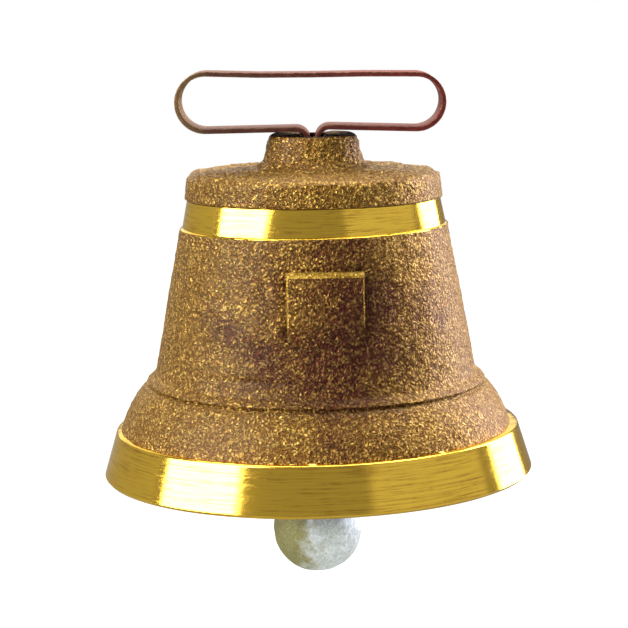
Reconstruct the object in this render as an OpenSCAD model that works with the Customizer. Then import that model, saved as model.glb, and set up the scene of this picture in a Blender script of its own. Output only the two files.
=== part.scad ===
// Cattle bell on a bent strap loop, with a swinging ball clapper.
// Origin: middle of the face that bears on the collar, the underside of the loop's top run.
// X runs along the loop, +Y to the rear, +Z up. The bell hangs below its strap.

/* [Collar loop] */
// Clear width of the loop, which takes the collar
loop_clear_w = 61.6; // [50:0.1:70]
// Outer height of the loop at its left end
loop_h_left = 14.5; // [12:0.1:18]
// Outer height of the loop at its right end
loop_h_right = 13.9; // [12:0.1:18]
// How far the loop sits off the slot, towards -X
loop_offset = 0.5; // [0:0.1:2]
// Sag of the top run at its middle
top_sag = 0.25; // [0:0.05:0.6]
// Rise of the left lower run towards the slot
run_rise_left = 0.25; // [0:0.05:1]
// Rise of the right lower run towards the slot
run_rise_right = 0.7; // [0:0.05:1]
// Strap thickness
strap_t = 1.1; // [1:0.1:1.5]
// Strap width, along the collar
strap_w = 13; // [12:0.5:15]

/* [Bell] */
// Outer diameter of the mouth, over the turned lip
mouth_d = 103.5; // [101:0.5:106]
// Height of the cap's crown above the lip
body_h = 73.3; // [72:0.1:75]
// Angle by which the turned bands run out of true with the casting
turning_tilt = 0.7; // [0:0.05:1]
// Sideways shift of the lip's turning from the upper band's
lip_shift = -0.4; // [-0.8:0.1:0]
// Height of the turned lip band
lip_band_h = 11.3; // [9:0.1:12]
// Radius of the neck at its top
neck_r = 10.5; // [10:0.1:12]
// Height of the neck's flat top above the lip
neck_top = 80.9; // [80:0.1:81.5]
// Clearance of the strap tails in the slot, each side
slot_clear = 0.25; // [0.15:0.05:0.4]

/* [Plaque] */
// Width of the blank raised plaque
plaque_w = 17.5; // [14:0.5:20]
// Height of the plaque
plaque_h = 16; // [14:0.5:18]
// How far the plaque's top edge stands proud
plaque_proud = 0.9; // [0.5:0.1:1.2]
// Turn of the plaque round the bell, towards +X
plaque_turn = 4.5; // [0:0.5:10]
// Height of the plaque's middle above the lip
plaque_z = 40; // [36:0.5:44]

/* [Clapper] */
// Diameter of the clapper ball
ball_d = 21.5; // [20:0.5:22]
// Height of the ball's centre, below the lip when negative
ball_z = -14.5; // [-16:0.1:-13]
// Diameter of the clapper rod
rod_d = 5; // [4.5:0.5:5.5]
// Diameter of the cross pin
pin_d = 5; // [4.5:0.5:5.5]
// Height of the cross pin above the lip
pin_z = 57.5; // [56:0.5:58]
// Distance from the cross pin down to the clapper's own pivot
link_drop = 10.5; // [10.5:0.1:11.5]
// Gap between the fork's two arms
fork_gap = 10; // [9.6:0.1:11]

/* [Hidden] */
$fn = 96;

running_fit = 0.05;     // radial clearance of a pin in its bore
tail_gap = 1.05;        // daylight between the strap's two tails
top_bend_r = 2.9;       // centreline radius of the bends into the slot
crank_r = 1.7;          // centreline radius of the cranks under the crown
lip_drop = 94.7;        // from the collar bearing face down to the lip plane
lip_z = -lip_drop;
crown_z = 67;           // underside of the crown, above the lip
tilt_z = 60;            // height at which the turned axis crosses the casting's axis
wall_lip = 5.6;         // wall thickness at the lip
bands_top = 66.2;       // top of the turned upper band
bands_low = 59.4;       // ledge under the upper band

// Strap centreline heights, above the collar bearing face
run_z = lip_z + 82.35;
tail_x = tail_gap / 2 + strap_t / 2;
arm_x = fork_gap / 2 + strap_t / 2;
shoulder_z = lip_z + crown_z - running_fit - strap_t / 2;
arm_end_z = lip_z + pin_z - strap_w / 2;
loop_w = loop_clear_w + 2 * strap_t;
slot_w = tail_gap + 2 * strap_t + 2 * slot_clear;
slot_len = strap_w + 1;

// Points on an arc, from angle a to angle b
function arc(x, z, r, a, b, n = 14) =
    [for (i = [0:n]) let (t = a + (b - a) * i / n) [x + r * cos(t), z + r * sin(t)]];

// Unit normal of a path at point i, from its neighbours
function path_normal(p, i) =
    let (a = p[max(i - 1, 0)], b = p[min(i + 1, len(p) - 1)], d = (b - a) / norm(b - a)) [-d[1], d[0]];

// Outline of a strip of thickness t along a centreline
function strip(p, t) =
    concat([for (i = [0:len(p) - 1]) p[i] + path_normal(p, i) * t / 2],
           [for (i = [len(p) - 1:-1:0]) p[i] - path_normal(p, i) * t / 2]);

function flip_x(p) = [for (q = p) [-q[0], q[1]]];
function reversed(p) = [for (i = [len(p) - 1:-1:0]) p[i]];

// Centreline of the strap's right half: fork arm, shoulder, tail, lower run, round end, top run
function half_strap(half_w, outer_h, rise) =
    let (end_r = (outer_h - strap_t) / 2, end_x = half_w - strap_t / 2 - end_r)
    concat([[arm_x, arm_end_z]],
           arc(arm_x - crank_r, shoulder_z - crank_r, crank_r, 0, 90, 8),
           arc(tail_x + crank_r, shoulder_z + crank_r, crank_r, 270, 180, 8),
           arc(tail_x + top_bend_r, run_z + rise - top_bend_r, top_bend_r, 180, 92, 12),
           arc(end_x, run_z + end_r, end_r, -91, 90, 24),
           [[end_x * 0.5, strap_t / 2 + top_sag * 0.25]]);

// Rough outside of the casting: [radius, height above the lip]
cast_profile = concat(
    [[0, 6], [46, 6]],
    arc(21.9, 4.1, 26, 13, 46, 10),
    [[39.6, 23.1], [39.3, 23.5], [39.2, 23.9], [38.7, 24.5], [38.3, 25.6], [37.5, 30], [35.6, 40],
     [33.7, 50], [32.25, 58.5], [31.4, 62], [30.4, 65.6]],
    [[30.75, 66.4]],
    arc(28.2, 70.1, 2.2, 18, 80, 6),
    [[24, 72.75], [19, body_h - 0.1], [15.6, body_h]],
    arc(15.1, 77, 3.6, 270, 190, 8),
    [[neck_r + 0.25, 79.4]],
    arc(neck_r - 0.6, neck_top - 0.6, 0.6, 0, 90, 5),
    [[0, neck_top]]);

// Inside of the bell, from the mouth to the crown
cavity_profile = concat(
    [[0, -1], [mouth_d / 2 - wall_lip - 0.3, -1], [mouth_d / 2 - wall_lip - 0.3, 0],
     [mouth_d / 2 - wall_lip - 0.9, 1.2], [44.2, 7], [41.4, 12], [38.8, 16.5], [36.2, 21],
     [34.3, 25], [33.2, 30], [31.2, 40], [29.3, 50]],
    arc(22.2, 60.8, crown_z - 60.8, 0, 90, 10),
    [[0, crown_z]]);

// Turned lip band, a cone with a small chamfer at the mouth
lip_profile = [[38, 0], [mouth_d / 2 - 0.7, 0], [mouth_d / 2 - 0.15, 0.6],
               [mouth_d / 2 - 3.3, lip_band_h - 0.3], [mouth_d / 2 - 3.6, lip_band_h],
               [44, lip_band_h], [38, lip_band_h - 3]];

// Groove that the lathe cuts for the upper band
groove_profile = [[45, bands_low], [31.45, bands_low], [30.2, bands_top - 0.3], [30.1, bands_top],
                  [45, bands_top]];

// Places its children on the axis of a turning cut, moved sideways for a new chucking
module turned(shift = 0) {
    translate([shift, 0, tilt_z]) rotate([0, -turning_tilt, 0]) translate([0, 0, -tilt_z]) children();
}

// Blank pad on the waist's front, dying into the cone at its foot
module plaque() {
    waist_r = 35.6;
    lean = 7.6;
    translate([0, 0, plaque_z]) rotate([0, 0, plaque_turn]) rotate([-lean, 0, 0])
        intersection() {
            translate([-plaque_w / 2, -waist_r - 4, -plaque_h / 2]) cube([plaque_w, 8, plaque_h]);
            translate([0, 0, -20]) cylinder(r = waist_r + plaque_proud / 2, h = 40);
        }
}

// Slot through the neck and crown, its edges eased where the strap bends and cranks outwards
module slot() {
    translate([-slot_w / 2, -slot_len / 2, crown_z - 4]) cube([slot_w, slot_len, 22]);
    slot_easing(crown_z - 0.4, 1.6);
    slot_easing(neck_top, 2);
}

// Chamfers along both long edges of the slot at height z, cut with a square of side a set on its corner
module slot_easing(z, a) {
    for (side = [-1, 1])
        translate([side * slot_w / 2, 0, z]) rotate([0, 45, 0]) cube([a, slot_len - 0.5, a], center = true);
}

module bell_casting() {
    color("darkgoldenrod") translate([0, 0, lip_z]) difference() {
        union() {
            difference() {
                union() {
                    rotate_extrude() polygon(cast_profile);
                    plaque();
                }
                turned() rotate_extrude() polygon(groove_profile);
            }
            turned(lip_shift) rotate_extrude() polygon(lip_profile);
        }
        rotate_extrude() polygon(cavity_profile);
        slot();
    }
}

module strap_loop() {
    half_w = loop_w / 2;
    left = flip_x(half_strap(half_w + loop_offset, loop_h_left, run_rise_left));
    right = half_strap(half_w - loop_offset, loop_h_right, run_rise_right);
    centreline = concat(left, [[0, strap_t / 2]], reversed(right));
    color("saddlebrown") difference() {
        rotate([90, 0, 0]) linear_extrude(strap_w, center = true) polygon(strip(centreline, strap_t));
        translate([0, 0, lip_z + pin_z]) rotate([0, 90, 0])
            cylinder(r = pin_d / 2 + running_fit, h = 40, center = true);
        arm_end_rounding();
    }
}

// Cuts the fork arms' ends to a half circle round the pin
module arm_end_rounding() {
    translate([0, 0, lip_z + pin_z]) rotate([0, 90, 0]) difference() {
        translate([0, -strap_w, -20]) cube([strap_w, 2 * strap_w, 40]);
        cylinder(r = strap_w / 2, h = 50, center = true);
    }
}

pin_grip = arm_x + strap_t / 2;  // from the middle of the pin to the outer face of an arm
cotter_x = pin_grip + 2.4;       // place of the split pin's hole
cotter_r = 0.75;

module cross_pin() {
    head_r = 4;
    head_t = 1.6;
    tip = cotter_x + 2.2;
    color("darkgray") translate([0, 0, lip_z + pin_z]) rotate([0, 90, 0]) difference() {
        union() {
            translate([0, 0, -pin_grip - 0.1]) cylinder(r = pin_d / 2, h = pin_grip + tip - 0.5);
            translate([0, 0, tip - 0.6]) cylinder(r1 = pin_d / 2, r2 = pin_d / 2 - 0.5, h = 0.6);
            translate([0, 0, -pin_grip - 0.1 - head_t]) cylinder(r = head_r, h = head_t);
        }
        translate([0, 0, cotter_x]) rotate([0, 90, 0])
            cylinder(r = cotter_r + running_fit, h = 12, center = true, $fn = 32);
    }
}

link_len = fork_gap - 2.6;       // length of the link's upper eye
washer_t = 1;

module pin_washers() {
    color("silver") translate([0, 0, lip_z + pin_z]) for (side = [-1, 1])
        translate([side * (link_len / 2 + 0.1 + washer_t / 2), 0, 0]) rotate([0, 90, 0]) difference() {
            cylinder(r = pin_d, h = washer_t, center = true);
            cylinder(r = pin_d / 2 + running_fit * 2, h = 3, center = true);
        }
}

module split_pin() {
    leg = pin_d / 2 + 1.4;
    eye_r = 1.5;
    color("silver") translate([cotter_x, 0, lip_z + pin_z]) {
        translate([0, 0, -leg]) cylinder(r = cotter_r, h = 2 * leg, $fn = 32);
        translate([0, 0, leg + eye_r]) rotate([0, 90, 0])
            rotate_extrude($fn = 32) translate([eye_r, 0]) circle(r = cotter_r, $fn = 24);
        for (side = [-1, 1])
            translate([0, 0, -leg]) rotate([side * 48, 0, 0]) translate([0, 0, -3])
                cylinder(r = cotter_r * 0.8, h = 3, $fn = 24);
    }
}

link_eye_r = 4.75;
link_thick = 6;

// Forged link: upper eye across the fork, lower eye along Y for the rod's hook
module clapper_link() {
    color("dimgray") translate([0, 0, lip_z + pin_z]) difference() {
        union() {
            rotate([0, 90, 0]) cylinder(r = 5, h = link_len, center = true);
            translate([0, 0, -link_drop]) rotate([90, 0, 0])
                cylinder(r = link_eye_r, h = link_thick, center = true);
            translate([-3, -link_thick / 2, -link_drop]) cube([6, link_thick, link_drop]);
        }
        rotate([0, 90, 0]) cylinder(r = pin_d / 2 + running_fit, h = 20, center = true);
        translate([0, 0, -link_drop]) rotate([90, 0, 0])
            cylinder(r = rod_d / 2 + running_fit, h = 20, center = true);
    }
}

// Round bar from point a to point b, with ball ends for the bends
module bar(a, b, r) {
    d = b - a;
    turn = atan2(norm([d[0], d[1]]), d[2]);
    translate(a) rotate([0, 0, atan2(d[1], d[0])]) rotate([0, turn, 0]) cylinder(r = r, h = norm(d), $fn = 48);
    translate(a) sphere(r = r * 1.015, $fn = 48);
    translate(b) sphere(r = r * 1.015, $fn = 48);
}

ball_flat = 0.957 * ball_d / 2;  // from the ball's centre down to its flat

// Rod with a bent eye through the link; its lower end is riveted flush in the ball's flat
module clapper_rod() {
    r = rod_d / 2;
    half = link_thick / 2 + r + 0.6;
    top = pin_z - link_drop;
    eye_low = top - 8.5;
    waist = top - 14.5;
    color("dimgray") translate([0, 0, lip_z]) {
        translate([0, 0, ball_z - ball_flat]) cylinder(r = r, h = waist - ball_z + ball_flat, $fn = 48);
        bar([0, 0, waist], [0, -half, eye_low], r);
        bar([0, -half, eye_low], [0, -half, top], r);
        bar([0, -half, top], [0, half, top], r);
        bar([0, half, top], [0, half, eye_low], r);
        bar([0, half, eye_low], [0, 0.4, waist], r);
    }
}

module clapper_ball() {
    color("lightgray") translate([0, 0, lip_z + ball_z]) difference() {
        sphere(d = ball_d);
        translate([-ball_d, -ball_d, -ball_d - ball_flat]) cube([2 * ball_d, 2 * ball_d, ball_d]);
        cylinder(r = rod_d / 2, h = 2 * ball_d, center = true, $fn = 48);
    }
}

bell_casting();
strap_loop();
cross_pin();
pin_washers();
split_pin();
clapper_link();
clapper_rod();
clapper_ball();
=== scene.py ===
# Cattle bell: the looks of its casting, turned bands, strap loop and clapper.
# Lengths in the mesh functions are millimetres, and finished pieces are scaled to metres.
# Heights named "above the lip" count from the plane of the bell's mouth.
import math

import bmesh
import bpy
from mathutils import Matrix, Quaternion, Vector, noise


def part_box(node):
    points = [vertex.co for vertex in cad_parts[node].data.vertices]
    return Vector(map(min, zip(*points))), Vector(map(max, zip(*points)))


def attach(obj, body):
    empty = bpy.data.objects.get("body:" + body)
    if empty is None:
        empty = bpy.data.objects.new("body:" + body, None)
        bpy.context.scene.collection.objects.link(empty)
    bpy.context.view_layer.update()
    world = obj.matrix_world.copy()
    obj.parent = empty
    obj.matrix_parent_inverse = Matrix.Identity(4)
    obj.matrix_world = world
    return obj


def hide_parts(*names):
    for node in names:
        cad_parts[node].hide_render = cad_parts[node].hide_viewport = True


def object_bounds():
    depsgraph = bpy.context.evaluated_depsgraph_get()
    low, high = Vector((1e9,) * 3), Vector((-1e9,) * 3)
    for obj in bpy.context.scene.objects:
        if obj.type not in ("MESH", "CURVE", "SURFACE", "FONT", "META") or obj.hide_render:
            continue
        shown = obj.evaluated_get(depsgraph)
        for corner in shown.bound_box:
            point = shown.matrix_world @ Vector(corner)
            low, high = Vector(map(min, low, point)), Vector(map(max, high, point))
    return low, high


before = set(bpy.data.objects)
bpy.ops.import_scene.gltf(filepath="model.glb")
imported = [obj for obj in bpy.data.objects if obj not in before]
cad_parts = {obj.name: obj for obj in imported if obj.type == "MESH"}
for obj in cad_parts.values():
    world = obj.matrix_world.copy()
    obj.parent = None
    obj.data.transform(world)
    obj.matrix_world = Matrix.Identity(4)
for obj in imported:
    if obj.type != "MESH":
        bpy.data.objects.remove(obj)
cad_low, cad_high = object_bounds()

MM = 0.001

# ---------------------------------------------------------------- places, from the frame

_, casting_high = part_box("bell_casting")
strap_low, strap_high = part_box("strap_loop")
ball_low, ball_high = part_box("clapper_ball")

NECK_TOP = 80.9                                   # neck's flat top, above the lip
LIP_Z = casting_high.z / MM - NECK_TOP            # lip plane, below the collar's bearing face
CROWN = 67.0                                      # underside of the crown, above the lip
TILT = math.radians(0.7)                          # turned bands' lean against the casting
TILT_Z = 60.0                                     # height where both axes cross
LIP_SHIFT = -0.4                                  # second chucking of the casting, for the lip
LIP_BAND_TOP = 11.3
BAND_LOW, BAND_TOP = 59.4, 66.2
SLOT_W, SLOT_LEN = 3.75, 14.0
SLOT_EASE = 1.4                                   # chamfer along the slot's top edges
PLAQUE_W, PLAQUE_H, PLAQUE_Z = 17.6, 16.8, 39.7
PLAQUE_R = 36.2                                   # radius of the plaque's face
PLAQUE_TURN, PLAQUE_LEAN = math.radians(4.0), math.radians(7.0)
NECK_EDGE = 79.6                                  # above this the neck's top is smooth
NECK_FOOT = 14.0                                  # radius inside which the neck begins
CAP_SHOULDER = 71.2                               # height where the cap's top begins
SECOND_GROOVE_Z, SECOND_GROOVE_WIDTH = 27.7, 0.45
REAR_RIM = 0.45                                   # how far the neck's rear edge stands up
CASTING_STEPS = 340                               # facets round the casting
SHADE_PATCH_MIDDLE = (0.007, -0.036, (LIP_Z + 36) * MM)    # middle of the painted shade patch round the plaque's foot
SHADE_SMEAR_MIDDLE = (-0.0165, 0, (LIP_Z + 36) * MM)       # middle of the painted shade smear left of the plaque


# ---------------------------------------------------------------- mesh helpers

def arc(x, z, r, start, end, n):
    """Points on an arc in the XZ plane, angles in degrees."""
    angles = [math.radians(start + (end - start) * i / n) for i in range(n + 1)]
    return [(x + r * math.cos(a), z + r * math.sin(a)) for a in angles]


def fine(points, step):
    """The same outline with points at most one step apart."""
    found = [points[0]]
    for (x0, z0), (x1, z1) in zip(points, points[1:]):
        n = max(1, math.ceil(math.hypot(x1 - x0, z1 - z0) / step))
        found += [(x0 + (x1 - x0) * i / n, z0 + (z1 - z0) * i / n) for i in range(1, n + 1)]
    return found


def open_line(bm, points):
    """A chain of edges through the points, in the XZ plane."""
    verts = [bm.verts.new((x, 0, z)) for x, z in points]
    edges = [bm.edges.new(pair) for pair in zip(verts, verts[1:])]
    return verts + edges


def lathe(bm, points, steps):
    bmesh.ops.spin(bm, geom=open_line(bm, points), cent=(0, 0, 0), axis=(0, 0, 1),
                   angle=2 * math.pi, steps=steps, use_merge=True)
    bmesh.ops.remove_doubles(bm, verts=bm.verts, dist=1e-4)


def rims(bm, low, high):
    """Open edges between two heights."""
    return [e for e in bm.edges if e.is_boundary and all(low < v.co.z < high for v in e.verts)]


def finish_piece(bm, name, body, materials, replaces=(), sharp=35, lift=0.0):
    """Turns a bmesh in millimetres into a piece in metres that rides on its body."""
    bmesh.ops.remove_doubles(bm, verts=bm.verts, dist=1e-4)
    bmesh.ops.recalc_face_normals(bm, faces=bm.faces)
    bmesh.ops.translate(bm, verts=bm.verts, vec=(0, 0, lift))
    bmesh.ops.scale(bm, verts=bm.verts, vec=(MM, MM, MM))
    for face in bm.faces:
        face.smooth = True
    mesh = bpy.data.meshes.new(name)
    bm.to_mesh(mesh)
    bm.free()
    mesh.set_sharp_from_angle(angle=math.radians(sharp))
    for material in materials:
        mesh.materials.append(material)
    piece = bpy.data.objects.new(name, mesh)
    bpy.context.scene.collection.objects.link(piece)
    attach(piece, body)
    if replaces:
        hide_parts(*replaces)
    return piece


# ---------------------------------------------------------------- node helpers

class Nodes:
    """Short calls that add and link nodes in one tree."""

    def __init__(self, tree):
        self.tree = tree

    def add(self, kind, values=None, **settings):
        node = self.tree.nodes.new(kind)
        for key, value in settings.items():
            setattr(node, key, value)
        for key, value in (values or {}).items():
            self.put(node.inputs[key], value)
        return node

    def put(self, socket, value):
        if isinstance(value, bpy.types.NodeSocket):
            self.tree.links.new(value, socket)
        else:
            socket.default_value = value

    def math(self, operation, a, b=0.0, clamp=False):
        node = self.add("ShaderNodeMath", operation=operation, use_clamp=clamp)
        self.put(node.inputs[0], a)
        self.put(node.inputs[1], b)
        return node.outputs[0]

    def mix(self, factor, a, b):
        """Colour mix."""
        node = self.add("ShaderNodeMix", data_type="RGBA")
        self.put(node.inputs["Factor"], factor)
        self.put(node.inputs[6], a)
        self.put(node.inputs[7], b)
        return node.outputs[2]

    def span(self, value, low, high, to_low=0.0, to_high=1.0, smooth=True):
        """Maps a value from one range to another, held at the ends."""
        node = self.add("ShaderNodeMapRange", {0: value, 1: low, 2: high, 3: to_low, 4: to_high},
                        interpolation_type="SMOOTHSTEP" if smooth else "LINEAR")
        return node.outputs[0]

    def noise(self, vector, scale, detail=2.0, rough=0.5, distort=0.0):
        values = {"Vector": vector, "Scale": scale, "Detail": detail, "Roughness": rough,
                  "Distortion": distort}
        return self.add("ShaderNodeTexNoise", values).outputs["Fac"]

    def cells(self, vector, scale, smooth=0.5):
        values = {"Vector": vector, "Scale": scale, "Smoothness": smooth}
        return self.add("ShaderNodeTexVoronoi", values, feature="SMOOTH_F1").outputs["Distance"]

    def place(self, scale=(1, 1, 1), turn=(0, 0, 0), shift=(0, 0, 0)):
        """Object coordinates through a Mapping node."""
        spot = self.add("ShaderNodeTexCoord").outputs["Object"]
        return self.add("ShaderNodeMapping", {"Vector": spot, "Scale": scale, "Rotation": turn,
                                              "Location": shift}).outputs[0]


def group(name, inputs, outputs):
    """A new shader node group with named value inputs and outputs."""
    tree = bpy.data.node_groups.new(name, "ShaderNodeTree")
    for label, value in inputs.items():
        socket = tree.interface.new_socket(label, in_out="INPUT", socket_type="NodeSocketFloat")
        socket.default_value = value
    for label in outputs:
        tree.interface.new_socket(label, in_out="OUTPUT", socket_type="NodeSocketFloat")
    nodes = Nodes(tree)
    return nodes, nodes.add("NodeGroupInput").outputs, nodes.add("NodeGroupOutput").inputs


def use(nodes, tree, **values):
    """Places a group, with its inputs by name."""
    node = nodes.add("ShaderNodeGroup", node_tree=tree)
    for key, value in values.items():
        nodes.put(node.inputs[key.replace("_", " ").capitalize()], value)
    return node.outputs


# ---------------------------------------------------------------- shared effects

def sand_grain_group():
    """Skin of a sand casting: packed grains with worm-like ridges between them."""
    n, given, out = group("sand_grain", {"Fineness": 1000.0, "Ridges": 0.5}, ["Height", "Tips", "Tone"])
    spot = n.place()
    bent = n.add("ShaderNodeVectorMath", operation="ADD")
    drift = n.add("ShaderNodeTexNoise", {"Vector": spot, "Scale": 420.0, "Detail": 1.0})
    shake = n.add("ShaderNodeVectorMath", operation="SCALE")
    n.put(shake.inputs[0], drift.outputs["Color"])
    n.put(shake.inputs["Scale"], 0.0011)
    n.put(bent.inputs[0], spot)
    n.put(bent.inputs[1], shake.outputs[0])
    grains = n.cells(bent.outputs[0], given["Fineness"], 0.35)
    worms = n.noise(bent.outputs[0], n.math("MULTIPLY", given["Fineness"], 0.8), 1.0, 0.5, 1.2)
    fold = n.math("ABSOLUTE", n.math("SUBTRACT", worms, 0.5))
    ridge = n.span(fold, 0.0, 0.2, 1.0, 0.0)
    pebble = n.span(grains, 0.0, 0.8, 1.0, 0.0)
    mixed = n.math("ADD", n.math("MULTIPLY", ridge, given["Ridges"]),
                   n.math("MULTIPLY", pebble, n.math("SUBTRACT", 1.0, given["Ridges"])))
    speck = n.noise(spot, 2600.0, 2.0, 0.6)
    height = n.math("ADD", mixed, n.math("MULTIPLY", speck, 0.25))
    n.put(out["Height"], height)
    n.put(out["Tips"], n.span(height, 0.45, 1.05))
    n.put(out["Tone"], n.noise(spot, 70.0, 3.0, 0.6))
    return n.tree


def painted_shade_group():
    """Painted shade on the bell's front: a dark patch round the plaque's foot, and a slanting smear to its
    left.
    """
    n, given, out = group("painted_shade", {"Tone": 0.5}, ["Clean"])
    spot = n.place()
    away = n.add("ShaderNodeVectorMath", {0: spot, 1: SHADE_PATCH_MIDDLE}, operation="DISTANCE")
    spread = n.math("ADD", away.outputs["Value"], n.math("MULTIPLY", given["Tone"], 0.05))
    outside = n.span(spread, 0.033, 0.058)
    from_smear = n.add("ShaderNodeVectorMath", {0: spot, 1: SHADE_SMEAR_MIDDLE}, operation="SUBTRACT").outputs[0]
    across = n.add("ShaderNodeVectorMath", {0: from_smear, 1: (0.57, 0, 0.82)}, operation="DOT_PRODUCT")
    down = n.add("ShaderNodeVectorMath", {0: from_smear, 1: (0.82, 0, -0.57)}, operation="DOT_PRODUCT")
    front = n.span(n.add("ShaderNodeSeparateXYZ", {0: from_smear}).outputs[1], -0.025, -0.015, 0.75, 0.0)
    smear = n.math("MULTIPLY", n.span(n.math("ABSOLUTE", across.outputs["Value"]), 0.0005, 0.0055, 1.0, 0.0),
                   n.span(n.math("ABSOLUTE", down.outputs["Value"]), 0.004, 0.015, 1.0, 0.0))
    # The surface outside the painted shade smear.
    bare = n.math("SUBTRACT", 1.0, n.math("MULTIPLY", smear, front))
    n.put(out["Clean"], n.math("MULTIPLY", outside, bare))
    return n.tree


def lathe_marks_group():
    """Fine rings left by a turning tool, and the darker streaks between them."""
    n, given, out = group("lathe_marks", {"Pitch": 5200.0, "Along": 30.0}, ["Height", "Streaks", "Stain"])
    spot = n.add("ShaderNodeTexCoord").outputs["Object"]
    apart = n.add("ShaderNodeSeparateXYZ", {0: spot})
    around = n.math("ARCTAN2", apart.outputs[1], apart.outputs[0])
    ring = n.add("ShaderNodeCombineXYZ")
    n.put(ring.inputs[0], n.math("MULTIPLY", n.math("COSINE", around), given["Along"]))
    n.put(ring.inputs[1], n.math("MULTIPLY", n.math("SINE", around), given["Along"]))
    lean = n.math("ADD", apart.outputs[2], n.math("MULTIPLY", apart.outputs[0], math.tan(-TILT)))
    n.put(ring.inputs[2], n.math("MULTIPLY", lean, given["Pitch"]))
    marks = n.noise(ring.outputs[0], 1.0, 3.0, 0.65)
    wide = n.add("ShaderNodeVectorMath", operation="MULTIPLY")
    n.put(wide.inputs[0], ring.outputs[0])
    wide.inputs[1].default_value = (0.1, 0.1, 0.45)
    streaks = n.noise(wide.outputs[0], 1.0, 4.0, 0.7)
    n.put(out["Height"], marks)
    n.put(out["Streaks"], n.span(streaks, 0.44, 0.66))
    n.put(out["Stain"], n.noise(spot, 260.0, 4.0, 0.65))
    return n.tree


def mottle_group():
    """Uneven patches, as plating or scale has, with a finer break-up."""
    n, given, out = group("mottle", {"Patches": 300.0, "Sharpness": 0.12}, ["Patch", "Fine", "Scratch"])
    spot = n.place()
    broad = n.noise(spot, given["Patches"], 4.0, 0.62, 0.8)
    low = n.math("SUBTRACT", 0.5, given["Sharpness"])
    high = n.math("ADD", 0.5, given["Sharpness"])
    n.put(out["Patch"], n.span(broad, low, high))
    n.put(out["Fine"], n.noise(spot, n.math("MULTIPLY", given["Patches"], 6.0), 3.0, 0.6))
    thin = n.noise(n.place((0.25, 1.0, 6.0), (0.3, 0.5, 0.2)), 900.0, 2.0, 0.6)
    n.put(out["Scratch"], n.span(thin, 0.62, 0.72))
    return n.tree


def worn_edges_group():
    """Where an edge is rubbed bright: the bevelled normal leaves the true one."""
    n, given, out = group("worn_edges", {"Reach": 0.0004, "Break up": 700.0}, ["Worn"])
    round_off = n.add("ShaderNodeBevel", samples=4)
    n.put(round_off.inputs["Radius"], given["Reach"])
    true = n.add("ShaderNodeNewGeometry").outputs["Normal"]
    facing = n.add("ShaderNodeVectorMath", operation="DOT_PRODUCT")
    n.put(facing.inputs[0], round_off.outputs[0])
    n.put(facing.inputs[1], true)
    edge = n.span(facing.outputs["Value"], 0.995, 0.9)
    patches = n.span(n.noise(n.place(), given["Break up"], 2.0), 0.4, 0.6)
    n.put(out["Worn"], n.math("MULTIPLY", edge, patches))
    return n.tree


SAND_GRAIN = sand_grain_group()
PAINTED_SHADE = painted_shade_group()
LATHE_MARKS = lathe_marks_group()
MOTTLE = mottle_group()
WORN_EDGES = worn_edges_group()


# ---------------------------------------------------------------- materials

def new_material(name):
    material = bpy.data.materials.new(name)
    material.use_nodes = True
    tree = material.node_tree
    tree.nodes.clear()
    nodes = Nodes(tree)
    shader = nodes.add("ShaderNodeBsdfPrincipled")
    output = nodes.add("ShaderNodeOutputMaterial")
    tree.links.new(shader.outputs[0], output.inputs["Surface"])
    return material, nodes, shader.inputs


def bump(nodes, height, distance, strength=1.0):
    values = {"Height": height, "Distance": distance, "Strength": strength}
    return nodes.add("ShaderNodeBump", values).outputs[0]


EDGE_TINT = (0.95, 0.86, 0.66, 1)                  # bronze stays golden at a glancing angle


def cast_bronze(name, fineness, depth, ridges, recess, skin, tip, rough, coat):
    """Sand-cast bronze: oxide in the recesses, bright metal on the rubbed tips of the grains, and painted
    shade on its front.
    """
    material, n, shader = new_material(name)
    grain = use(n, SAND_GRAIN, fineness=fineness, ridges=ridges)
    # Painted shade: round the plaque's foot and in a smear to its left, the skin takes the recess colour and
    # the bright tips are dimmed.
    unshaded = use(n, PAINTED_SHADE, tone=grain["Tone"])["Clean"]
    low = n.mix(unshaded, recess, skin)
    rubbed = n.math("MULTIPLY", grain["Tips"], n.math("ADD", n.math("MULTIPLY", unshaded, 0.65), 0.35))
    colour = n.mix(rubbed, low, tip)
    n.put(shader["Base Color"], colour)
    shader["Metallic"].default_value = 1.0
    shader["Specular Tint"].default_value = (1, 0.9, 0.8, 1)
    shader["Coat Weight"].default_value = coat
    shader["Coat Roughness"].default_value = 0.45
    n.put(shader["Roughness"], n.span(grain["Tips"], 0.0, 1.0, rough + 0.12, rough - 0.1))
    n.put(shader["Normal"], bump(n, grain["Height"], depth))
    return material


def turned_brass(name, colour, stain, rough):
    """Bright lathe-turned bronze, with tool rings and a faint tarnish."""
    material, n, shader = new_material(name)
    marks = use(n, LATHE_MARKS, pitch=5200.0, along=30.0)
    tarnish = n.math("MULTIPLY", marks["Streaks"], n.span(marks["Stain"], 0.3, 0.7, 0.35, 1.0))
    n.put(shader["Base Color"], n.mix(n.math("MULTIPLY", tarnish, 0.85), colour, stain))
    shader["Metallic"].default_value = 1.0
    shader["Specular Tint"].default_value = EDGE_TINT
    n.put(shader["Roughness"], n.math("ADD", n.math("MULTIPLY", marks["Streaks"], 0.08), rough))
    n.put(shader["Normal"], bump(n, marks["Height"], 0.000012))
    return material


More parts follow.
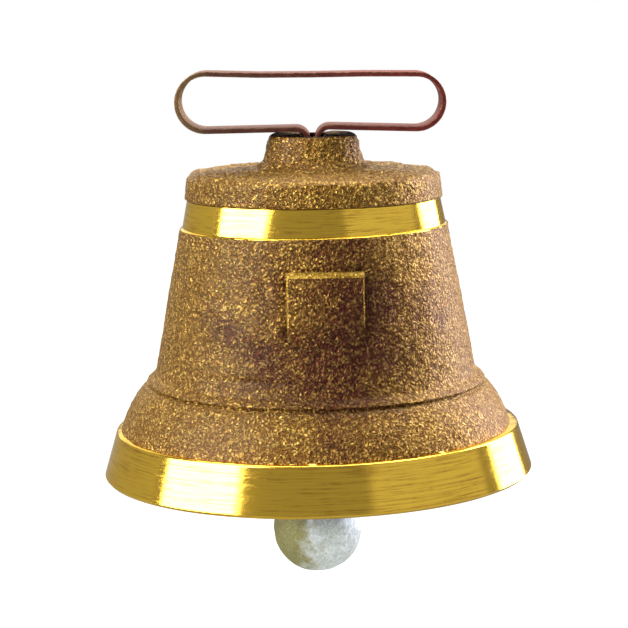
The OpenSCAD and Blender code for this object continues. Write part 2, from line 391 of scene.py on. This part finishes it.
def strap_steel(name):
    """Brown oxide on rolled steel strip, rubbed through to a warm sheen at the edges."""
    material, n, shader = new_material(name)
    mottle = use(n, MOTTLE, patches=260.0, sharpness=0.16)
    worn = use(n, WORN_EDGES, reach=0.00035)["Worn"]
    spot = n.add("ShaderNodeTexCoord").outputs["Object"]
    along = n.add("ShaderNodeSeparateXYZ", {0: spot}).outputs[0]
    red = n.span(along, -0.026, 0.03)
    brown = n.mix(mottle["Patch"], (0.08, 0.036, 0.026, 1), (0.12, 0.055, 0.036, 1))
    maroon = n.mix(mottle["Patch"], (0.12, 0.02, 0.018, 1), (0.18, 0.035, 0.03, 1))
    # Painted highlight: the strap's left end is lighter and golden.
    painted_highlight_end = n.mix(n.span(along, -0.033, -0.022), (0.19, 0.12, 0.05, 1), brown)
    n.put(shader["Base Color"], n.mix(worn, n.mix(red, painted_highlight_end, maroon), (0.4, 0.27, 0.15, 1)))
    shader["Metallic"].default_value = 0.85
    shader["Specular Tint"].default_value = (1, 0.75, 0.65, 1)
    n.put(shader["Roughness"], n.span(mottle["Fine"], 0.3, 0.7, 0.34, 0.5))
    height = n.math("ADD", mottle["Fine"], n.math("MULTIPLY", mottle["Scratch"], -0.5))
    n.put(shader["Normal"], bump(n, height, 0.00003))
    return material


def zinc_plate(name, light, grey, olive, rough, patches):
    """Dull zinc plating, clouded grey and faintly yellow in patches, more of the yellow towards the left
    side.
    """
    material, n, shader = new_material(name)
    mottle = use(n, MOTTLE, patches=patches, sharpness=0.25)
    side = n.add("ShaderNodeSeparateXYZ", {0: n.place()}).outputs[0]
    cloud = n.noise(n.place(shift=(3, 1, 2)), 170.0, 3.0, 0.6)
    tint = n.span(n.math("SUBTRACT", cloud, n.math("MULTIPLY", side, 50.0)), 0.4, 0.8)
    clouded = n.mix(mottle["Patch"], light, grey)
    tint = n.math("MULTIPLY", tint, n.span(mottle["Fine"], 0.35, 0.6, 0.6, 1.0))
    n.put(shader["Base Color"], n.mix(tint, clouded, olive))
    shader["Metallic"].default_value = 0.85
    shader["Specular Tint"].default_value = (0.66, 0.68, 0.66, 1)
    n.put(shader["Roughness"], n.span(mottle["Fine"], 0.3, 0.7, rough - 0.06, rough + 0.14))
    height = n.math("ADD", mottle["Patch"], n.math("MULTIPLY", mottle["Fine"], 0.6))
    n.put(shader["Normal"], bump(n, height, 0.00013))
    return material


def forged_steel(name, scale_colour, bare):
    """Forged bar: dark scale, scratched and rubbed bright where it bears."""
    material, n, shader = new_material(name)
    mottle = use(n, MOTTLE, patches=420.0, sharpness=0.1)
    worn = use(n, WORN_EDGES, reach=0.0005)["Worn"]
    scaled = n.mix(mottle["Patch"], scale_colour, tuple(c * 1.7 for c in scale_colour[:3]) + (1,))
    rubbed = n.math("MAXIMUM", worn, n.math("MULTIPLY", mottle["Scratch"], 0.7))
    n.put(shader["Base Color"], n.mix(rubbed, scaled, bare))
    shader["Metallic"].default_value = 0.85
    n.put(shader["Roughness"], n.span(mottle["Fine"], 0.3, 0.7, 0.35, 0.6))
    n.put(shader["Normal"], bump(n, mottle["Fine"], 0.00005))
    return material


CAST_SKIN = cast_bronze("cast_skin", fineness=1300.0, depth=0.00054, ridges=0.5,
                        recess=(0.052, 0.012, 0.008, 1), skin=(0.135, 0.062, 0.01, 1),
                        tip=(0.4, 0.26, 0.055, 1), rough=0.4, coat=0.14)
# Plaque edges: rubbed bronze, part wear and part painted highlight where the top edge and upper sides catch
# the light.
CAST_RUBBED_HIGHLIT = cast_bronze("cast_rubbed_highlit", fineness=1400.0, depth=0.0004, ridges=0.5,
                          recess=(0.25, 0.14, 0.02, 1), skin=(0.36, 0.24, 0.035, 1),
                          tip=(0.6, 0.42, 0.09, 1), rough=0.36, coat=0.0)
CAST_INSIDE = cast_bronze("cast_inside", fineness=900.0, depth=0.0003, ridges=0.3,
                          recess=(0.03, 0.015, 0.008, 1), skin=(0.05, 0.027, 0.013, 1),
                          tip=(0.12, 0.07, 0.03, 1), rough=0.62, coat=0.0)
BRASS = turned_brass("turned_brass", colour=(0.93, 0.61, 0.075, 1), stain=(0.42, 0.2, 0.03, 1), rough=0.09)
STRAP_STEEL = strap_steel("strap_steel")
BALL_ZINC = zinc_plate("ball_zinc", light=(0.88, 0.95, 0.95, 1), grey=(0.52, 0.57, 0.53, 1),
                       olive=(0.24, 0.215, 0.012, 1), rough=0.5, patches=1100.0)
PIN_ZINC = zinc_plate("hardware_zinc", light=(0.6, 0.6, 0.56, 1), grey=(0.42, 0.42, 0.4, 1),
                      olive=(0.5, 0.45, 0.25, 1), rough=0.3, patches=600.0)
FORGED = forged_steel("forged_steel", scale_colour=(0.09, 0.08, 0.075, 1), bare=(0.5, 0.48, 0.45, 1))
PIN_STEEL = forged_steel("pin_steel", scale_colour=(0.2, 0.19, 0.18, 1), bare=(0.6, 0.58, 0.55, 1))
CASTING_MATERIALS = [CAST_SKIN, BRASS, CAST_INSIDE, CAST_RUBBED_HIGHLIT]    # in the order of the face materials


# ---------------------------------------------------------------- the casting

def flare_points():
    """Rough outside from the lip band's top to the ledge under the upper band."""
    start = math.degrees(math.asin((LIP_BAND_TOP - 4.1) / 26))
    return (arc(21.9, 4.1, 26, start, 40.5, 12)
            + [(41.1, 21.45), (40.55, 21.75), (40.3, 22.0), (40.55, 22.3), (40.65, 22.6), (40.25, 23.1),
               (39.65, 23.6), (39.3, 23.9), (38.95, 24.1), (38.72, 24.5), (38.3, 25.8), (37.5, 30),
               (35.6, 40), (33.7, 50), (32.05, BAND_LOW)])


def casting_outline():
    """Outline from the neck's top, down the outside, round the lip and up the inside."""
    lip = ([(51.0, 0), (51.6, 0.7)] + fine([(51.555, 0.85), (48.5, 10.83)], 2.5)
           + [(48.45, 11.0), (48.15, LIP_BAND_TOP)])
    band = [(31.75, BAND_LOW + 0.28), (31.42, BAND_LOW + 0.35), (30.2, 65.9), (30.1, BAND_TOP)]
    cap = ([(30.66, BAND_TOP), (30.75, 66.4)] + arc(28.2, 70.1, 2.2, 18, 80, 6)
           + [(24, 72.75), (19, 73.2), (15.6, 73.3)] + arc(15.1, 77, 3.6, 270, 190, 8)
           + [(10.75, 79.4)] + arc(9.9, 80.3, 0.6, 0, 90, 4))
    inside = ([(45.85, 0), (45.25, 1.2), (44.2, 7), (41.4, 12), (38.8, 16.5), (36.2, 21), (34.3, 25),
               (33.2, 30), (31.2, 40), (29.3, 50)] + arc(22.2, 60.8, 6.2, 0, 90, 8) + [(9.5, CROWN)])
    outside = lip + fine(flare_points(), 0.6) + band + fine(cap, 0.6)
    return outside[::-1] + fine(inside, 2.0)


def cast_radius(z):
    """Radius of the rough waist and flare at a height above the lip."""
    points = flare_points()
    for (x0, z0), (x1, z1) in zip(points, points[1:]):
        if z0 <= z <= z1:
            return x0 + (x1 - x0) * (z - z0) / (z1 - z0)
    return points[0][0] + (points[0][1] - z) * 0.29 if z < points[0][1] else points[-1][0]


def trued(p, shift):
    """A point of a turned surface, on the lathe's axis instead of the casting's."""
    z = p.z - TILT_Z
    return Vector((p.x * math.cos(TILT) - z * math.sin(TILT) + shift, p.y,
                   p.x * math.sin(TILT) + z * math.cos(TILT) + TILT_Z))


def plaque_place():
    """From the plaque's own frame to the bell's, in millimetres above the lip."""
    return (Matrix.Translation((0, 0, PLAQUE_Z)) @ Matrix.Rotation(PLAQUE_TURN, 4, "Z")
            @ Matrix.Rotation(-PLAQUE_LEAN, 4, "X"))


def lumps(p):
    """How far the rough skin stands in or out, from broad hollows to single grains."""
    broad = noise.noise(p / 7.5) * 0.15
    middle = noise.noise(p / 2.6 + Vector((7, 3, 1))) * 0.12
    small = noise.noise(p / 1.15 + Vector((1, 8, 5))) * 0.14
    return broad + middle + small


def flow_rings(p):
    """Broken concentric ridges on the cap's top, from the mould."""
    r = math.hypot(p.x, p.y)
    a = math.atan2(p.y, p.x)
    ridge = noise.noise(Vector((r / 0.9, math.cos(a) * 2.2, math.sin(a) * 2.2)))
    return 0.6 * ridge


def skin_offset(p, plaque_from_bell):
    """Depth of the rough skin at a point on the outside."""
    r = math.hypot(p.x, p.y)
    if p.z > NECK_EDGE:
        return 0.0
    depth = lumps(p)
    if p.z > CAP_SHOULDER and r > NECK_FOOT:
        depth += flow_rings(p)
    if r < NECK_FOOT:
        depth *= 1.7
    if p.z < LIP_BAND_TOP + 2.0:
        burr = noise.noise(p / 0.9 + Vector((4, 4, 9)))
        depth += 0.3 * max(0.0, burr + 0.15) * (LIP_BAND_TOP + 2.0 - p.z) / 2.0
    if 26 < p.z < 29.5 and p.y < 0:
        part = max(0.0, 1 - abs(math.degrees(math.atan2(p.x, -p.y)) + 27) / 24)
        depth -= 0.3 * min(1.0, 2 * part) * math.exp(-((p.z - SECOND_GROOVE_Z) / SECOND_GROOVE_WIDTH) ** 2)
    local = plaque_from_bell @ p
    if local.y < 0:
        gap = math.hypot(max(abs(local.x) - PLAQUE_W / 2, 0), max(abs(local.z) - PLAQUE_H / 2, 0))
        side = 0.12 if local.x > PLAQUE_W / 2 else (0.85 if local.x < -PLAQUE_W / 2 else 0.6)
        uneven = max(0.2, 0.75 + noise.noise(p / 1.6))
        depth -= side * uneven * math.exp(-(gap / 0.75) ** 2) * (1 if local.z > -PLAQUE_H / 2 else 0)
    return depth


def shape_casting(bm):
    """Moves the turned surfaces onto the lathe's axis and roughens the cast ones."""
    kinds = {}
    for v in bm.verts:
        r, z = math.hypot(v.co.x, v.co.y), v.co.z
        if r > 47.5 and z < LIP_BAND_TOP + 0.1:
            kinds[v] = "lip"
        elif BAND_LOW + 0.01 < z <= BAND_TOP + 0.01 and 29.9 < r < 31.8 and r < 30.5 + (BAND_TOP - z):
            kinds[v] = "band"
        elif (z > CROWN + 0.1 and r > 9.85) or (z > 11 and r > cast_radius(min(z, BAND_LOW)) - 0.05):
            kinds[v] = "rough"
    for v, kind in kinds.items():
        if kind == "lip":
            v.co = trued(v.co, LIP_SHIFT)
        elif kind == "band":
            v.co = trued(v.co, 0)
        else:
            low = max(0.0, 1 - (v.co.z - LIP_BAND_TOP) / 5)
            high = max(0.0, 1 - max(BAND_LOW - v.co.z, v.co.z - BAND_TOP, 0) / 5)
            z = v.co.z + v.co.x * math.sin(TILT) * max(low, high)
            if v.co.z < BAND_LOW + 0.01:
                grow = cast_radius(z) / cast_radius(v.co.z)
                v.co.x *= grow
                v.co.y *= grow
            v.co.z = z
        if v.co.z > NECK_EDGE and kind == "rough":
            rear = min(1.0, max(0.0, (v.co.y - 1) / 4))
            v.co.z += REAR_RIM * rear * min(1.0, max(0.0, (abs(v.co.x) - 2) / 3))
    bm.normal_update()
    plaque_from_bell = plaque_place().inverted()
    moves = [(v, v.normal * skin_offset(v.co, plaque_from_bell)) for v, k in kinds.items() if k == "rough"]
    for v, move in moves:
        v.co += move


def slot_walls(bm):
    """Walls of the strap's slot through neck and crown, opened out at the top."""
    height = NECK_TOP - CROWN
    made = bmesh.ops.create_cube(bm, size=1)
    verts = made["verts"]
    bmesh.ops.scale(bm, verts=verts, vec=(SLOT_W, SLOT_LEN, height))
    bmesh.ops.translate(bm, verts=verts, vec=(0, 0, CROWN + height / 2))
    caps = list({f for v in verts for f in v.link_faces if abs(f.normal.z) > 0.5})
    bmesh.ops.delete(bm, geom=caps, context="FACES_ONLY")
    upright = [e for e in bm.edges if abs(e.verts[0].co.z - e.verts[1].co.z) > height - 0.1]
    bmesh.ops.subdivide_edges(bm, edges=upright, cuts=1)
    walls = [v for v in bm.verts if abs(v.co.x) < SLOT_W / 2 + 0.1 and abs(v.co.y) < SLOT_LEN / 2 + 0.1]
    for v in walls:
        if v.co.z > NECK_TOP - 0.01:
            v.co.x += math.copysign(SLOT_EASE, v.co.x)
        elif v.co.z > CROWN + 0.01:
            v.co.z = NECK_TOP - SLOT_EASE


def material_by_place(bm):
    """Face materials: 0 rough skin, 1 turned brass, 2 the dark inside, also used as painted shade on the
    neck's top, rear rim and slot under the strap.
    """
    for face in bm.faces:
        p = face.calc_center_median()
        r = math.hypot(p.x, p.y)
        lip = p.z < LIP_BAND_TOP + 0.01 and r > cast_radius(LIP_BAND_TOP) - 0.02
        mouth = p.z < 0.01 and r > 45.8
        band = BAND_LOW - 0.01 < p.z < BAND_TOP - 0.01 and r > 30.0
        inside = p.z < CROWN + 0.01 and not band and r < cast_radius(max(p.z, LIP_BAND_TOP)) - 1.5
        # Painted shade: the neck's flat top, its raised rear rim and the slot, all under the strap, take the
        # dark inside material.
        neck_painted_shade = p.z > NECK_TOP - 0.05 or (p.z > 79.4 and p.y > 1) or (r < 7.5 and p.z > CROWN)
        face.material_index = 1 if lip or mouth or band else (2 if inside or neck_painted_shade else 0)


def plaque_block():
    """Blank pad, curved like the bell, with rounded edges and its own rough skin."""
    bm = bmesh.new()
    bmesh.ops.create_grid(bm, x_segments=42, y_segments=38, size=0.5)
    bmesh.ops.scale(bm, verts=bm.verts, vec=(PLAQUE_W, PLAQUE_H, 1))
    bmesh.ops.rotate(bm, verts=bm.verts, matrix=Matrix.Rotation(math.pi / 2, 3, "X"))
    front = list(bm.faces)
    bmesh.ops.translate(bm, verts=bm.verts, vec=(0, -PLAQUE_R, 0))
    made = bmesh.ops.extrude_face_region(bm, geom=front)
    back = [v for v in made["geom"] if isinstance(v, bmesh.types.BMVert)]
    bmesh.ops.translate(bm, verts=back, vec=(0, 4.2, 0))
    for v in bm.verts:
        over = v.co.z - (PLAQUE_H / 2 - 1.2)
        if over > 0 and v.co.y < -PLAQUE_R + 0.1:
            v.co.y += 1.2 - math.sqrt(max(0.0, 1.44 - over * over))
        under = 5 - PLAQUE_H / 2 - v.co.z
        if under > 0:
            v.co.y += 0.11 * under
    edge = [e for e in bm.edges if e.calc_face_angle(0) > 1
            and all(v.co.y < -PLAQUE_R + 0.1 for v in e.verts)]
    bmesh.ops.bevel(bm, geom=edge, offset=0.35, segments=3, profile=0.5, affect="EDGES", material=-1,
                    clamp_overlap=True)
    bmesh.ops.recalc_face_normals(bm, faces=bm.faces)
    bmesh.ops.remove_doubles(bm, verts=bm.verts, dist=1e-4)
    for v in bm.verts:
        v.co.y += PLAQUE_R - math.sqrt(PLAQUE_R ** 2 - v.co.x ** 2)
    bmesh.ops.transform(bm, matrix=plaque_place(), verts=bm.verts)
    bell_to_pad = plaque_place().inverted()
    # The top edge and the upper sides take the brighter rubbed bronze: part wear, part painted highlight.
    for face in bm.faces:
        spot = bell_to_pad @ face.calc_center_median()
        edge = spot.z > PLAQUE_H / 2 - 1.3 or (abs(spot.x) > PLAQUE_W / 2 - 0.3 and spot.z > -PLAQUE_H / 4)
        face.material_index = 3 if edge else 0
    bm.normal_update()
    moves = [(v, v.normal * lumps(v.co) * 0.8) for v in bm.verts]
    for v, move in moves:
        v.co += move
    return bm


def make_casting():
    bm = bmesh.new()
    lathe(bm, casting_outline(), CASTING_STEPS)
    slot_walls(bm)
    for low, high in ((NECK_TOP - 0.1, NECK_TOP + 0.1), (CROWN - 0.1, CROWN + 0.1)):
        bmesh.ops.bridge_loops(bm, edges=rims(bm, low, high))
    bmesh.ops.recalc_face_normals(bm, faces=bm.faces)
    material_by_place(bm)
    shape_casting(bm)
    casting = finish_piece(bm, "bell_casting_skin", "bell",
                           CASTING_MATERIALS, ["bell_casting"], sharp=50, lift=LIP_Z)
    pad = finish_piece(plaque_block(), "plaque_pad", "bell",
                       CASTING_MATERIALS, sharp=60, lift=LIP_Z)
    weld(casting, pad)
    return casting


def weld(piece, addition):
    """Joins two overlapping closed meshes into one, and removes the second."""
    union = piece.modifiers.new("weld", "BOOLEAN")
    union.operation = "UNION"
    union.solver = "MANIFOLD"
    union.object = addition
    graph = bpy.context.evaluated_depsgraph_get()
    joined = bpy.data.meshes.new_from_object(piece.evaluated_get(graph), depsgraph=graph)
    piece.modifiers.remove(union)
    old = piece.data
    piece.data = joined
    joined.name = piece.name
    bpy.data.meshes.remove(old)
    bpy.data.objects.remove(addition)


# ---------------------------------------------------------------- the strap

STRAP_T = 1.1
TAIL_X = 1.075                    # middle of each strap tail, from the slot's middle
ARM_X = 5.55                      # middle of each fork arm
RUN_Z = LIP_Z + 82.35             # middle of the lower run, before its rise
SHOULDER_Z = LIP_Z + CROWN - 0.6  # middle of the shoulder under the crown
TOP_SAG = 0.25


def half_strap(reach, outer_h, rise):
    """Centreline from the fork arm's end up the tail, along the lower run and round to the top."""
    end_r = (outer_h - STRAP_T) / 2
    end_x = reach - STRAP_T / 2 - end_r
    crank, bend = 1.7, 2.9
    return ([(ARM_X, strap_low.z / MM)]
            + arc(ARM_X - crank, SHOULDER_Z - crank, crank, 0, 90, 8)
            + arc(TAIL_X + crank, SHOULDER_Z + crank, crank, 270, 180, 8)
            + arc(TAIL_X + bend, RUN_Z + rise - bend, bend, 180, 92, 12)
            + arc(end_x, RUN_Z + end_r, end_r, -91, 90, 36)
            + [(end_x * 0.5, STRAP_T / 2 + TOP_SAG * 0.25)])


def strip_outline(line, thick):
    """Both sides of a strip along a centreline, as one closed outline."""
    sides = ([], [])
    for i, (x, z) in enumerate(line):
        (x0, z0), (x1, z1) = line[max(i - 1, 0)], line[min(i + 1, len(line) - 1)]
        along = Vector((x1 - x0, z1 - z0)).normalized()
        for side, sign in zip(sides, (1, -1)):
            side.append((x - sign * along.y * thick / 2, z + sign * along.x * thick / 2))
    return sides


def make_strap():
    """One strip bent into the collar loop, its tails cranked out under the crown into a fork."""
    left = [(-x, z) for x, z in half_strap(-strap_low.x / MM, 14.5, 0.25)]
    right = half_strap(strap_high.x / MM, 13.9, 0.7)
    upper, lower = strip_outline(left + [(0, STRAP_T / 2)] + right[::-1], STRAP_T)
    width = (strap_high.y - strap_low.y) / MM
    bm = bmesh.new()
    rows = [[bm.verts.new((x, -width / 2, z)) for x, z in side] for side in (upper, lower)]
    for (a, b), (c, d) in zip(zip(rows[0], rows[0][1:]), zip(rows[1], rows[1][1:])):
        bm.faces.new((a, b, d, c))
    made = bmesh.ops.extrude_face_region(bm, geom=list(bm.faces))
    far = [v for v in made["geom"] if isinstance(v, bmesh.types.BMVert)]
    bmesh.ops.translate(bm, verts=far, vec=(0, width, 0))
    bmesh.ops.recalc_face_normals(bm, faces=bm.faces)
    ends = [e for e in bm.edges if all(v.co.z < strap_low.z / MM + 0.01 for v in e.verts)
            and abs(e.verts[0].co.y - e.verts[1].co.y) < 0.01]
    bmesh.ops.bevel(bm, geom=ends, offset=width / 2 - 0.1, segments=10, profile=0.5, affect="EDGES",
                    material=-1)
    rim = [e for e in bm.edges if e.is_manifold and e.calc_face_angle(0) > math.radians(60)]
    bmesh.ops.bevel(bm, geom=rim, offset=0.12, segments=2, profile=0.5, affect="EDGES", material=-1)
    return finish_piece(bm, "collar_strap", "hanger", [STRAP_STEEL], ["strap_loop"], sharp=40)


# ---------------------------------------------------------------- the clapper

def make_ball():
    """Plated ball with a flat below, faintly dented by the lip."""
    radius = (ball_high.x - ball_low.x) / 2 / MM
    middle = ball_high.z / MM - radius
    bm = bmesh.new()
    bmesh.ops.create_uvsphere(bm, u_segments=128, v_segments=96, radius=radius)
    for v in bm.verts:
        dent = max(0.0, noise.noise(v.co / 3.4 + Vector((2, 5, 8))) - 0.15)
        v.co -= v.co.normalized() * (dent * 0.35 + abs(noise.noise(v.co / 1.3)) * 0.05)
    flat = ball_low.z / MM - middle + 0.1
    cut = bmesh.ops.bisect_plane(bm, geom=bm.verts[:] + bm.edges[:] + bm.faces[:], plane_co=(0, 0, flat),
                                 plane_no=(0, 0, -1), clear_outer=True)
    rim = [e for e in cut["geom_cut"] if isinstance(e, bmesh.types.BMEdge)]
    bmesh.ops.contextual_create(bm, geom=rim)
    bmesh.ops.bevel(bm, geom=rim, offset=0.25, segments=2, profile=0.5, affect="EDGES", material=-1)
    return finish_piece(bm, "clapper_ball_plated", "clapper", [BALL_ZINC], ["clapper_ball"],
                        sharp=50, lift=middle)


# ---------------------------------------------------------------- CAD nodes that stay

def refinish(node, material):
    """Gives a CAD node its procedural material."""
    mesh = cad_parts[node].data
    mesh.materials.clear()
    mesh.materials.append(material)


make_casting()
make_strap()
make_ball()
for node, material in (("cross_pin", PIN_STEEL), ("clapper_link", FORGED), ("clapper_rod", FORGED),
                       ("pin_washers", PIN_ZINC), ("split_pin", PIN_ZINC)):
    refinish(node, material)


# ---------------------------------------------------------------- camera, lights and floor

CAMERA_PLACE = Vector((-1.17, -500, 19.0)) * MM
CAMERA_TURN = [math.radians(a) for a in (81.37, 0.724, -0.216)]
LENS = 120.4


def make_camera():
    data = bpy.data.cameras.new("camera")
    data.lens = LENS
    data.sensor_width = 36
    data.clip_start, data.clip_end = 0.01, 100
    camera = bpy.data.objects.new("camera", data)
    camera.location = CAMERA_PLACE
    camera.rotation_euler = CAMERA_TURN
    bpy.context.scene.collection.objects.link(camera)
    bpy.context.scene.camera = camera


def softbox(name, azimuth, elevation, width, height, brightness, colour=(1, 1, 1), roll=0, distance=1.1):
    """Rectangular light aimed at the bell. Azimuth 0 is the camera's side and 90 the bell's right.

    Its width and height are the angles it fills, in degrees, as all its angles are."""
    a, e = math.radians(azimuth), math.radians(elevation)
    away = Vector((math.sin(a) * math.cos(e), -math.cos(a) * math.cos(e), math.sin(e)))
    data = bpy.data.lights.new(name, "AREA")
    data.shape = "RECTANGLE"
    data.size = 2 * distance * math.tan(math.radians(width / 2))
    data.size_y = 2 * distance * math.tan(math.radians(height / 2))
    data.energy = brightness * math.pi * data.size * data.size_y
    data.color = colour
    light = bpy.data.objects.new(name, data)
    light.location = away * distance + Vector((0, 0, (cad_low.z + cad_high.z) / 2))
    turn = (-away).to_track_quat("-Z", "Y") @ Quaternion((0, 0, 1), math.radians(roll))
    light.rotation_euler = turn.to_euler()
    light.visible_camera = False
    bpy.context.scene.collection.objects.link(light)


def make_world():
    """White to the camera, and a dim room to everything else, darker towards the floor."""
    world = bpy.data.worlds.new("studio")
    bpy.context.scene.world = world
    world.use_nodes = True
    tree = world.node_tree
    tree.nodes.clear()
    n = Nodes(tree)
    up = n.add("ShaderNodeSeparateXYZ", {0: n.add("ShaderNodeTexCoord").outputs["Generated"]}).outputs[2]
    low = n.mix(n.span(up, -0.6, -0.05), (0.55, 0.54, 0.5, 1), (0.3, 0.29, 0.27, 1))
    room = n.mix(n.span(up, -0.05, 0.35), low, (0.35, 0.34, 0.32, 1))
    seen = n.add("ShaderNodeLightPath").outputs["Is Camera Ray"]
    back = n.add("ShaderNodeBackground")
    n.put(back.inputs["Color"], n.mix(seen, room, (1, 1, 1, 1)))
    tree.links.new(back.outputs[0], n.add("ShaderNodeOutputWorld").inputs[0])


def make_floor():
    """Plain pale floor, well below the hanging bell."""
    bm = bmesh.new()
    bmesh.ops.create_circle(bm, cap_ends=True, segments=96, radius=6)
    bmesh.ops.translate(bm, verts=bm.verts, vec=(0, 0, cad_low.z - 0.6))
    mesh = bpy.data.meshes.new("floor")
    bm.to_mesh(mesh)
    bm.free()
    material, _, shader = new_material("floor_pale")
    shader["Base Color"].default_value = (0.9, 0.9, 0.89, 1)
    shader["Roughness"].default_value = 0.7
    shader["Emission Color"].default_value = (1, 1, 1, 1)
    shader["Emission Strength"].default_value = 0.8
    mesh.materials.append(material)
    floor = bpy.data.objects.new("floor", mesh)
    floor.visible_glossy = False
    bpy.context.scene.collection.objects.link(floor)


make_camera()
make_world()
make_floor()
softbox("softbox_left", -65, 27, 44, 50, 12.5, (1, 0.95, 1), roll=-12)
softbox("softbox_right_behind", 124, 17, 30, 50, 10.5, (0.97, 0.93, 1.15))
softbox("softbox_above", 168, 70, 56, 38, 7.0)
softbox("panel_behind", 184, 24, 56, 34, 1.0)
softbox("panel_low", 32, -34, 70, 36, 1.0)
softbox("panel_right", 64, 18, 68, 60, 0.3)
softbox("panel_left_behind", -137, 10, 80, 50, 0.15)
bpy.context.scene.view_settings.view_transform = "Standard"
